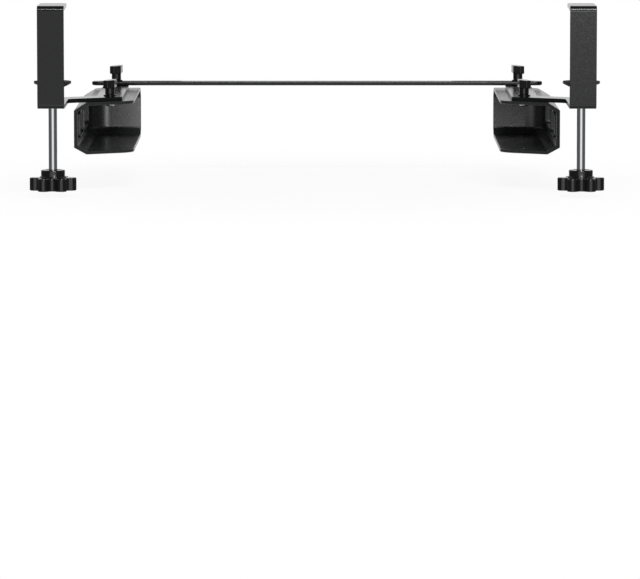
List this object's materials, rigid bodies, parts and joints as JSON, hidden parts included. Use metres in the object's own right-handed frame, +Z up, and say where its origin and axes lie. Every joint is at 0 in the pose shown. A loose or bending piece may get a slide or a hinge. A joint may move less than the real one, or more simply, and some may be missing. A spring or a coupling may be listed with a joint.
{
  "type": "under desk laptop shelf",
  "caption": "Under desk shelf for a laptop: two clamp brackets with star knobs, each carrying an open side tray, joined by a flat slotted bar.",
  "frame": {"origin": "top front edge of the desk board, midway between the two clamps", "axes": "+X to the right along the desk edge, +Y under the desk away from its front edge, +Z up"},
  "size_m": [0.54, 0.3149, 0.1749],
  "materials": {
    "black_steel": "satin black powder coat",
    "tray_plastic": "smooth black moulded plastic with a soft sheen",
    "black_plastic": "black moulded plastic, semi gloss",
    "bright_steel": "bright zinc plated steel",
    "black_rubber": "matt black rubber"
  },
  "bodies": {
    "bar": {"cross_bar": "black_steel"},
    "left_saddle": {"left_rear_washer": "black_steel"},
    "left_side": {"left_bracket": "black_steel", "left_jaw_liner": "black_rubber", "left_tray": "tray_plastic", "left_front_screw": "bright_steel", "left_rear_screw": "bright_steel", "left_front_washer": "black_steel"},
    "left_front_wing": {"left_front_wing_knob": "black_plastic"},
    "left_rear_wing": {"left_rear_wing_knob": "black_plastic"},
    "left_hub": {"left_pad_hub": "black_plastic"},
    "left_pad": {"left_pressure_pad": "black_plastic", "left_pad_face": "black_rubber"},
    "left_spindle": {"left_spindle": "bright_steel", "left_star_knob": "black_plastic", "left_knob_cap": "black_plastic"},
    "right_saddle": {"right_rear_washer": "black_steel"},
    "right_side": {"right_bracket": "black_steel", "right_jaw_liner": "black_rubber", "right_tray": "tray_plastic", "right_front_screw": "bright_steel", "right_rear_screw": "bright_steel", "right_front_washer": "black_steel"},
    "right_front_wing": {"right_front_wing_knob": "black_plastic"},
    "right_rear_wing": {"right_rear_wing_knob": "black_plastic"},
    "right_hub": {"right_pad_hub": "black_plastic"},
    "right_pad": {"right_pressure_pad": "black_plastic", "right_pad_face": "black_rubber"},
    "right_spindle": {"right_spindle": "bright_steel", "right_star_knob": "black_plastic", "right_knob_cap": "black_plastic"}
  },
  "joints": [
    {"name": "left_width_slide", "type": "slide", "parent": "bar", "child": "left_saddle", "axis": [-1, 0, 0], "range_m": [-0.062, 0.012]},
    {"name": "left_swivel", "type": "hinge", "parent": "left_saddle", "child": "left_side", "pos_m": [-0.198, 0.27687, -0.082], "axis": [0, 0, -1], "range_deg": [-30, 30]},
    {"name": "left_front_wing_turn", "type": "hinge", "parent": "left_side", "child": "left_front_wing", "pos_m": [-0.198, 0.12087, -0.08], "axis": [0, 0, 1], "continuous": true},
    {"name": "left_rear_wing_turn", "type": "hinge", "parent": "left_side", "child": "left_rear_wing", "pos_m": [-0.198, 0.27687, -0.076], "axis": [0, 0, 1], "continuous": true},
    {"name": "left_clamp_travel", "type": "slide", "parent": "left_side", "child": "left_hub", "axis": [0, 0, 1], "range_m": [-0.0045, 0.058]},
    {"name": "left_pad_tilt", "type": "hinge", "parent": "left_hub", "child": "left_pad", "pos_m": [-0.248, 0.031, -0.0719], "axis": [1, 0, 0], "range_deg": [-8, 8]},
    {"name": "left_spindle_turn", "type": "hinge", "parent": "left_hub", "child": "left_spindle", "pos_m": [-0.248, 0.031, -0.0813], "axis": [0, 0, 1], "range_deg": [-1260, 16560]},
    {"name": "right_width_slide", "type": "slide", "parent": "bar", "child": "right_saddle", "axis": [1, 0, 0], "range_m": [-0.062, 0.012]},
    {"name": "right_swivel", "type": "hinge", "parent": "right_saddle", "child": "right_side", "pos_m": [0.198, 0.27687, -0.082], "axis": [0, 0, 1], "range_deg": [-30, 30]},
    {"name": "right_front_wing_turn", "type": "hinge", "parent": "right_side", "child": "right_front_wing", "pos_m": [0.198, 0.12087, -0.08], "axis": [0, 0, 1], "continuous": true},
    {"name": "right_rear_wing_turn", "type": "hinge", "parent": "right_side", "child": "right_rear_wing", "pos_m": [0.198, 0.27687, -0.076], "axis": [0, 0, 1], "continuous": true},
    {"name": "right_clamp_travel", "type": "slide", "parent": "right_side", "child": "right_hub", "axis": [0, 0, 1], "range_m": [-0.0045, 0.058]},
    {"name": "right_pad_tilt", "type": "hinge", "parent": "right_hub", "child": "right_pad", "pos_m": [0.248, 0.031, -0.0719], "axis": [1, 0, 0], "range_deg": [-8, 8]},
    {"name": "right_spindle_turn", "type": "hinge", "parent": "right_hub", "child": "right_spindle", "pos_m": [0.248, 0.031, -0.0813], "axis": [0, 0, 1], "range_deg": [-1260, 16560]}
  ],
  "couplings": [
    {"joint": "left_clamp_travel", "follows": "left_spindle_turn", "m_per_rad": 0.00019894},
    {"joint": "right_clamp_travel", "follows": "right_spindle_turn", "m_per_rad": 0.00019894}
  ]
}
